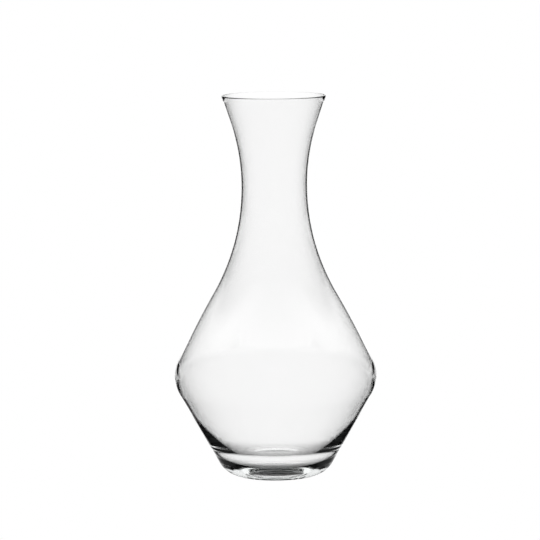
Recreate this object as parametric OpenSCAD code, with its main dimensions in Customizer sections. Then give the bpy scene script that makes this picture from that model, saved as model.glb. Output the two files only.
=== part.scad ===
// Wine decanter, blown in one piece of clear glass.
// The origin is the centre of the base on the table, +Z points out of the mouth, units are millimetres.
// Half of the upright section is one chain of arcs and straight runs, turned about Z.

/* [Outside] */
// Height from the table to the top of the rim
height = 290; // [287:1:296]
// Radius of the rim, to the middle of its rounded lip
rim_r = 38.9; // [36:0.1:40]
// Outside radius of the neck at its narrowest
neck_r = 25.2; // [24:0.1:26]
// Height of the narrowest part of the neck
neck_z = 221.5; // [219:0.5:224]
// Radius of the hollow curve from the neck up to the mouth
flare_arc = 150; // [130:1:160]
// Radius of the hollow curve from the neck down to the shoulder
shoulder_arc = 163; // [158:1:168]
// Steepest slope of the shoulder, measured from upright
shoulder_slope = 30; // [29.5:0.1:31]
// Radius of the faint bulge of the upper cone
cone_arc = 660; // [550:10:800]
// Outside radius of the belly at its widest
belly_r = 77; // [76:0.1:77.5]
// Radius of the rounded edge between the two cones
belly_arc = 26; // [25:0.5:28]
// Slope of the lower cone, measured from upright
lower_slope = 29.4; // [28:0.2:30]
// Radius of the rounded heel
heel_arc = 19; // [16:0.5:21]

/* [Glass] */
// Wall of the mouth, neck, shoulder and upper cone
wall = 1.3; // [1.1:0.1:1.8]
// Wall at the widest part of the belly
belly_wall = 1.9; // [1.7:0.1:2.3]
// Radius of the inside of the belly
inner_belly_arc = 27.5; // [26:0.5:28.5]
// Length of the even wall below the belly
even_run = 18; // [14:1:20]
// Radius of the long curve that thickens the wall towards the base
side_arc = 150; // [140:5:170]
// Radius at the faint ridge where the well at the bottom begins
ridge_r = 45; // [44:0.5:48]
// Slope of the well just below the ridge, measured from upright
well_slope = 16; // [12:1:24]
// Radius of the curve between the side of the well and its flat floor
well_arc = 21.5; // [18:0.5:22]

/* [Foot] */
// Width of the flat ring that stands on the table
foot_w = 3; // [1.5:0.5:5]
// Height of the shallow dome under the base
punt_h = 1.2; // [0.8:0.1:2]

/* [Hidden] */
$fn = 360;
// How far a chord of the section may cut inside its arc
chord_gap = 0.02;

// The point at distance r from c, in the direction a degrees above level
function from(c, r, a) = c + r * [cos(a), sin(a)];
// Direction from point a to point b, in degrees above level
function direction(a, b) = atan2(b.y - a.y, b.x - a.x);
// Points along the arc of radius r about c, from direction a0 to direction a1
function arc(c, r, a0, a1) =
    let (n = ceil(abs(a1 - a0) / (2 * acos(1 - chord_gap / r))))
    [for (i = [0:n]) from(c, r, a0 + (a1 - a0) * i / n)];
// Centre, at radius x, of an arc of radius r that touches from inside the circle of radius big about c
function nested(c, big, x, r) = [x, c.y + sqrt(pow(big - r, 2) - pow(x - c.x, 2))];

// The wall's middle line runs straight from the flare's curve to the lip
lip_c = [rim_r, height - wall / 2];
flare_c = [neck_r + flare_arc, neck_z];
flare_turn = 180 - direction(flare_c, lip_c) - acos((flare_arc + wall / 2) / norm(lip_c - flare_c));

// Outside arcs below the neck
shoulder_c = [neck_r + shoulder_arc, neck_z];
cone_c = from(shoulder_c, shoulder_arc + cone_arc, 180 + shoulder_slope);
belly_c = nested(cone_c, cone_arc, belly_r - belly_arc, belly_arc);
belly_join = direction(cone_c, belly_c);
heel_drop = belly_arc - heel_arc * (1 - sin(lower_slope));
heel_c = [belly_c.x - belly_c.y * tan(lower_slope) + heel_drop / cos(lower_slope), heel_arc];

// Inside arcs below the neck
inner_x = belly_r - belly_wall - inner_belly_arc;
inner_belly_c = nested(cone_c, cone_arc - wall, inner_x, inner_belly_arc);
inner_join = direction(cone_c, inner_belly_c);
even_top = from(inner_belly_c, inner_belly_arc, -lower_slope);
even_end = even_top - even_run * [sin(lower_slope), cos(lower_slope)];
side_c = even_end - from([0, 0], side_arc, -lower_slope);
ridge_slope = acos((ridge_r - side_c.x) / side_arc);
ridge = from(side_c, side_arc, -ridge_slope);
well_c = ridge - from([0, 0], well_arc, -well_slope);

// The dome under the base ends at the flat ring
foot_r = heel_c.x - foot_w;
punt_arc = (pow(foot_r, 2) + pow(punt_h, 2)) / (2 * punt_h);
punt_c = [0, punt_h - punt_arc];
punt_edge = direction(punt_c, [foot_r, 0]);

outside = concat(
    arc(punt_c, punt_arc, 90, punt_edge),
    arc(heel_c, heel_arc, -90, -lower_slope),
    arc(belly_c, belly_arc, -lower_slope, belly_join),
    arc(cone_c, cone_arc, belly_join, shoulder_slope),
    arc(shoulder_c, shoulder_arc, 180 + shoulder_slope, 180),
    arc(flare_c, flare_arc, 180, 180 - flare_turn)
);
lip = arc(lip_c, wall / 2, -flare_turn, 180 - flare_turn);
inside = concat(
    arc(flare_c, flare_arc + wall, 180 - flare_turn, 180),
    arc(shoulder_c, shoulder_arc + wall, 180, 180 + shoulder_slope),
    arc(cone_c, cone_arc - wall, shoulder_slope, inner_join),
    arc(inner_belly_c, inner_belly_arc, inner_join, -lower_slope),
    arc(side_c, side_arc, -lower_slope, -ridge_slope),
    arc(well_c, well_arc, -well_slope, -90),
    [[0, well_c.y - well_arc]]
);

module glass_body() {
    color([0.93, 0.95, 0.95, 0.4]) rotate_extrude() polygon(concat(outside, lip, inside));
}

glass_body();
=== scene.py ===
"""Looks of a clear glass wine decanter that is blown in one piece.

The decanter is lathed from the same chain of arcs and straight runs as its CAD solid, finely enough to
refract cleanly. The camera sees a plain white table and wall. The glass sees a set of light cards that
turns to face the camera: a lit floor and a back card, with a nearly dark room round them. Clear glass is
lit like this so that its edges draw themselves as dark lines.
"""
import math

import bpy
from mathutils import Matrix, Vector


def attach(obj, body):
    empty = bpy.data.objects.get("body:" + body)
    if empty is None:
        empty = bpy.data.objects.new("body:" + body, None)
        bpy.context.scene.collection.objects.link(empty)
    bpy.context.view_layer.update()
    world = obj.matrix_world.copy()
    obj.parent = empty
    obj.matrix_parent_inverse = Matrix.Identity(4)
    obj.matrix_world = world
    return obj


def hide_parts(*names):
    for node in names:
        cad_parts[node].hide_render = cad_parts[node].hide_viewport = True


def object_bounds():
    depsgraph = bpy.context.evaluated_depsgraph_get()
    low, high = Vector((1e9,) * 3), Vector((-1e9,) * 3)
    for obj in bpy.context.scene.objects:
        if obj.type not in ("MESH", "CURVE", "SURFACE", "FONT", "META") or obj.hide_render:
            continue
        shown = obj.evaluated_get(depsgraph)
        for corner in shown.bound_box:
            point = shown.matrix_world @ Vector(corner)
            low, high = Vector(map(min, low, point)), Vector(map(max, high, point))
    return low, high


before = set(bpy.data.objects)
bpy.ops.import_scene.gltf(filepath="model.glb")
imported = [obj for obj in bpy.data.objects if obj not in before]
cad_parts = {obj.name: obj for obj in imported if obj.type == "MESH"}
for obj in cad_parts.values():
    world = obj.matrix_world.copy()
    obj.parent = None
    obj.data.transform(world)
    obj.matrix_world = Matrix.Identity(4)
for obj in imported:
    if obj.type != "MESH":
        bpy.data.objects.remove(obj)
cad_low, cad_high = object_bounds()

MM = 0.001

# ---------------------------------------------------------------- size, from the frame
height = cad_high.z
belly_r = cad_high.x

# The driving dimensions below are the same as the CAD solid's
# ---------------------------------------------------------------- outside of the glass
rim_r = 38.9 * MM
neck_r = 25.2 * MM
neck_z = 221.5 * MM
flare_arc = 150 * MM
shoulder_arc = 163 * MM
shoulder_slope = math.radians(30)
cone_arc = 660 * MM
belly_arc = 26 * MM
lower_slope = math.radians(29.4)
heel_arc = 19 * MM

# ---------------------------------------------------------------- inside of the glass
wall = 1.3 * MM
belly_wall = 1.9 * MM
inner_belly_arc = 27.5 * MM
even_run = 18 * MM
side_arc = 150 * MM
ridge_r = 45 * MM
well_slope = math.radians(16)
well_arc = 21.5 * MM

# ---------------------------------------------------------------- foot
foot_w = 3 * MM
punt_h = 1.2 * MM

# ---------------------------------------------------------------- fineness of the mesh
turns = 288
chord_gap = 0.004 * MM
longest_run = 5 * MM


def point_from(centre, radius, angle):
    """The point at that distance and direction from a centre in the (radius, height) plane."""
    return centre + radius * Vector((math.cos(angle), math.sin(angle)))


def direction(start, end):
    """Angle above level of the line from start to end."""
    return math.atan2(end.y - start.y, end.x - start.x)


def arc(centre, radius, first, last):
    """Points along an arc, close enough together to stay within chord_gap of it."""
    step = 2 * math.acos(1 - chord_gap / radius)
    count = math.ceil(abs(last - first) / step)
    return [point_from(centre, radius, first + (last - first) * i / count) for i in range(count + 1)]


def nested_centre(centre, big, x, radius):
    """Centre, at radius x, of an arc that touches a bigger circle from inside."""
    return Vector((x, centre.y + math.sqrt((big - radius) ** 2 - (x - centre.x) ** 2)))


def glass_section():
    """The closed half section, from the middle of the underside round the lip to the middle of the well."""
    half_turn = math.pi
    quarter = math.pi / 2
    lip_c = Vector((rim_r, height - wall / 2))
    flare_c = Vector((neck_r + flare_arc, neck_z))
    lean = math.acos((flare_arc + wall / 2) / (lip_c - flare_c).length)
    flare_turn = half_turn - direction(flare_c, lip_c) - lean
    shoulder_c = Vector((neck_r + shoulder_arc, neck_z))
    cone_c = point_from(shoulder_c, shoulder_arc + cone_arc, half_turn + shoulder_slope)
    belly_c = nested_centre(cone_c, cone_arc, belly_r - belly_arc, belly_arc)
    heel_drop = belly_arc - heel_arc * (1 - math.sin(lower_slope))
    heel_x = belly_c.x - belly_c.y * math.tan(lower_slope) + heel_drop / math.cos(lower_slope)
    heel_c = Vector((heel_x, heel_arc))

    inner_x = belly_r - belly_wall - inner_belly_arc
    inner_belly_c = nested_centre(cone_c, cone_arc - wall, inner_x, inner_belly_arc)
    even_top = point_from(inner_belly_c, inner_belly_arc, -lower_slope)
    even_end = even_top - even_run * Vector((math.sin(lower_slope), math.cos(lower_slope)))
    side_c = point_from(even_end, -side_arc, -lower_slope)
    ridge_slope = math.acos((ridge_r - side_c.x) / side_arc)
    ridge = point_from(side_c, side_arc, -ridge_slope)
    well_c = point_from(ridge, -well_arc, -well_slope)

    foot_r = heel_c.x - foot_w
    punt_arc = (foot_r ** 2 + punt_h ** 2) / (2 * punt_h)
    punt_c = Vector((0, punt_h - punt_arc))

    outside = (
        arc(punt_c, punt_arc, quarter, direction(punt_c, Vector((foot_r, 0))))
        + arc(heel_c, heel_arc, -quarter, -lower_slope)
        + arc(belly_c, belly_arc, -lower_slope, direction(cone_c, belly_c))
        + arc(cone_c, cone_arc, direction(cone_c, belly_c), shoulder_slope)
        + arc(shoulder_c, shoulder_arc, half_turn + shoulder_slope, half_turn)
        + arc(flare_c, flare_arc, half_turn, half_turn - flare_turn)
    )
    lip = arc(lip_c, wall / 2, -flare_turn, half_turn - flare_turn)
    inside = (
        arc(flare_c, flare_arc + wall, half_turn - flare_turn, half_turn)
        + arc(shoulder_c, shoulder_arc + wall, half_turn, half_turn + shoulder_slope)
        + arc(cone_c, cone_arc - wall, shoulder_slope, direction(cone_c, inner_belly_c))
        + arc(inner_belly_c, inner_belly_arc, direction(cone_c, inner_belly_c), -lower_slope)
        + arc(side_c, side_arc, -lower_slope, -ridge_slope)
        + arc(well_c, well_arc, -well_slope, -quarter)
        + [Vector((0, well_c.y - well_arc))]
    )
    return tidy_chain(outside + lip + inside)


def tidy_chain(points):
    """Drops repeated points and divides long straight runs."""
    chain = [points[0]]
    for point in points[1:]:
        run = (point - chain[-1]).length
        if run < chord_gap:
            continue
        start = chain[-1]
        parts = math.ceil(run / longest_run)
        chain += [start.lerp(point, (i + 1) / parts) for i in range(parts)]
    chain[0].x = 0
    chain[-1].x = 0
    return chain


def turned(chain, count):
    """Corners and faces of a chain turned about Z. It starts on the axis, and may end there too."""
    closed = chain[-1].x == 0
    rings = chain[1:-1] if closed else chain[1:]
    verts = [(0, 0, chain[0].y)]
    for ring in rings:
        for i in range(count):
            a = 2 * math.pi * i / count
            verts.append((ring.x * math.cos(a), ring.x * math.sin(a), ring.y))
    if closed:
        verts.append((0, 0, chain[-1].y))
    last = 1 + (len(rings) - 1) * count
    faces = []
    for i in range(count):
        j = (i + 1) % count
        faces.append((0, 1 + j, 1 + i))
        for low in range(1, last, count):
            faces.append((low + i, low + j, low + count + j, low + count + i))
        if closed:
            faces.append((last + i, last + j, last + count))
    return verts, faces


def add_mesh(name, verts, faces, material):
    mesh = bpy.data.meshes.new(name)
    mesh.from_pydata(verts, [], faces)
    mesh.materials.append(material)
    obj = bpy.data.objects.new(name, mesh)
    bpy.context.scene.collection.objects.link(obj)
    return obj


# ---------------------------------------------------------------- materials
def new_material(name):
    material = bpy.data.materials.new(name)
    material.use_nodes = True
    return material, material.node_tree.nodes, material.node_tree.links


def clear_glass():
    """Clear glass with a faint cool tint where it is thick."""
    material, nodes, links = new_material("clear_glass")
    shader = nodes["Principled BSDF"]
    shader.inputs["Base Color"].default_value = (1, 1, 1, 1)
    shader.inputs["Roughness"].default_value = 0
    shader.inputs["IOR"].default_value = 1.52
    shader.inputs["Transmission Weight"].default_value = 1
    tint = nodes.new("ShaderNodeVolumeAbsorption")
    tint.inputs["Color"].default_value = (0.72, 0.86, 0.82, 1)
    tint.inputs["Density"].default_value = 1.5
    links.new(tint.outputs["Volume"], nodes["Material Output"].inputs["Volume"])
    return material


def white_light(name):
    """A surface that sends out the same white light everywhere, and its shader."""
    material, nodes, links = new_material(name)
    nodes.remove(nodes["Principled BSDF"])
    shader = nodes.new("ShaderNodeEmission")
    shader.inputs["Strength"].default_value = 1
    links.new(shader.outputs["Emission"], nodes["Material Output"].inputs["Surface"])
    return material, shader


# ---------------------------------------------------------------- the decanter
glass = add_mesh("decanter_glass", *turned(glass_section(), turns), clear_glass())
glass.data.shade_smooth()
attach(glass, "root")
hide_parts("glass_body")

# ---------------------------------------------------------------- camera
lens = 200.5
sensor = 36
camera_back = 2267 * MM
camera_up = 447.9 * MM
pitch_down = math.radians(7.31)
turn_left = math.radians(0.094)
roll = math.radians(0.417)


def make_camera():
    data = bpy.data.cameras.new("camera")
    data.lens = lens
    data.sensor_width = sensor
    obj = bpy.data.objects.new("camera", data)
    bpy.context.scene.collection.objects.link(obj)
    place = Matrix.Translation((0, -camera_back, camera_up))
    aim = Matrix.Rotation(turn_left, 4, "Z") @ Matrix.Rotation(math.pi / 2 - pitch_down, 4, "X")
    obj.matrix_world = place @ aim @ Matrix.Rotation(-roll, 4, "Z")
    bpy.context.scene.camera = obj
    return obj


camera = make_camera()

# ---------------------------------------------------------------- table and wall, seen by the camera only
room_r = 4.0
room_corner_arc = 0.8
room_top = 3.0
room_drop = 1 * MM
room_sides = 96
corner_steps = 12


def white_room():
    """A round table that curves up into a wall, all of it plain white."""
    quarter = math.pi / 2
    corner_c = Vector((room_r - room_corner_arc, room_corner_arc))
    chain = [Vector((0, 0))]
    for i in range(corner_steps + 1):
        chain.append(point_from(corner_c, room_corner_arc, quarter * (i / corner_steps - 1)))
    chain.append(Vector((room_r, room_top)))
    room = add_mesh("surround", *turned(chain, room_sides), white_light("white_surround")[0])
    room.location.z = -room_drop
    room.visible_glossy = False
    room.visible_transmission = False
    room.visible_diffuse = False


white_room()

# ---------------------------------------------------------------- light cards, seen by the glass only
card_level = 1.1
card_half = 3.0
card_front = 2.0
card_drop = 0.5 * MM
# The lit strip on the floor: it begins just behind the object's middle and widens to the back
strip_half = 50 * MM
strip_spread = 0.3
strip_soft = 15 * MM
strip_from = 15 * MM
strip_from_soft = 40 * MM
# The wide part of the lit floor, behind the object
wide_half = 500 * MM
wide_soft = 100 * MM
wide_from = 450 * MM
wide_from_soft = 80 * MM
# The back card: how far away, and how wide and high its lit part looks from the object
back_away = 4.0
back_half = back_away * math.tan(math.radians(16))
back_soft = back_half * 0.3
back_top = back_away * math.tan(math.radians(40))
back_top_soft = back_top * 0.1
# What light there is apart from the cards
room_glow = 0.02


def math_node(nodes, links, operation, *values):
    """The result of an operation on numbers and sockets."""
    node = nodes.new("ShaderNodeMath")
    node.operation = operation
    for socket, value in zip(node.inputs, values):
        if isinstance(value, (int, float)):
            socket.default_value = value
        else:
            links.new(value, socket)
    return node.outputs[0]


def soft_edge(nodes, links, value, middle, soft, lit_above):
    """A change between 0 and 1 at middle, soft to each side of it, that is 1 above it or below it."""
    node = nodes.new("ShaderNodeMapRange")
    node.interpolation_type = "SMOOTHSTEP"
    links.new(value, node.inputs["Value"])
    node.inputs["From Min"].default_value = middle - soft
    node.inputs["From Max"].default_value = middle + soft
    node.inputs["To Min"].default_value = 0 if lit_above else 1
    node.inputs["To Max"].default_value = 1 if lit_above else 0
    return node.outputs["Result"]


def floor_pattern(nodes, links, aside, back, _):
    """A strip that is narrow under the object and widens behind it, and the wide floor further back."""
    behind = math_node(nodes, links, "MAXIMUM", back, 0)
    spread = math_node(nodes, links, "MULTIPLY", behind, strip_spread)
    inward = math_node(nodes, links, "SUBTRACT", aside, spread)
    strip_side = soft_edge(nodes, links, inward, strip_half, strip_soft, lit_above=False)
    strip_start = soft_edge(nodes, links, back, strip_from, strip_from_soft, lit_above=True)
    wide_side = soft_edge(nodes, links, aside, wide_half, wide_soft, lit_above=False)
    wide_start = soft_edge(nodes, links, back, wide_from, wide_from_soft, lit_above=True)
    strip = math_node(nodes, links, "MULTIPLY", strip_side, strip_start)
    wide = math_node(nodes, links, "MULTIPLY", wide_side, wide_start)
    return math_node(nodes, links, "MAXIMUM", strip, wide)


def back_pattern(nodes, links, aside, _, up):
    """A tall lit field with soft edges."""
    side = soft_edge(nodes, links, aside, back_half, back_soft, lit_above=False)
    top = soft_edge(nodes, links, up, back_top, back_top_soft, lit_above=False)
    return math_node(nodes, links, "MULTIPLY", side, top)


def card(name, corners, pattern, rig):
    """One flat card of the light set, which the camera doesn't see. The pattern says where it is lit."""
    material, shader = white_light(name)
    nodes, links = material.node_tree.nodes, material.node_tree.links
    place = nodes.new("ShaderNodeTexCoord")
    parts = nodes.new("ShaderNodeSeparateXYZ")
    links.new(place.outputs["Object"], parts.inputs["Vector"])
    aside = math_node(nodes, links, "ABSOLUTE", parts.outputs["X"])
    lit = pattern(nodes, links, aside, parts.outputs["Y"], parts.outputs["Z"])
    links.new(math_node(nodes, links, "MULTIPLY", lit, card_level), shader.inputs["Strength"])
    obj = add_mesh(name, corners, [(0, 1, 2, 3)], material)
    obj.parent = rig
    obj.visible_camera = False


def light_set():
    """The cards, turned about Z so that the back card is always opposite the camera."""
    rig = bpy.data.objects.new("light_set", None)
    bpy.context.scene.collection.objects.link(rig)
    turn = rig.constraints.new("LOCKED_TRACK")
    turn.target = camera
    turn.track_axis = "TRACK_NEGATIVE_Y"
    turn.lock_axis = "LOCK_Z"
    floor_corners = [
        (-card_half, -card_front, -card_drop),
        (card_half, -card_front, -card_drop),
        (card_half, back_away, -card_drop),
        (-card_half, back_away, -card_drop),
    ]
    back_corners = [
        (-card_half, back_away, 0),
        (card_half, back_away, 0),
        (card_half, back_away, 2 * card_half),
        (-card_half, back_away, 2 * card_half),
    ]
    card("floor_card", floor_corners, floor_pattern, rig)
    card("back_card", back_corners, back_pattern, rig)


light_set()

world = bpy.data.worlds.new("studio")
world.use_nodes = True
world.node_tree.nodes["Background"].inputs["Color"].default_value = (room_glow, room_glow, room_glow, 1)
bpy.context.scene.world = world

# ---------------------------------------------------------------- light paths
scene = bpy.context.scene
scene.view_settings.view_transform = "Standard"
scene.cycles.max_bounces = 32
scene.cycles.transmission_bounces = 32
scene.cycles.glossy_bounces = 32
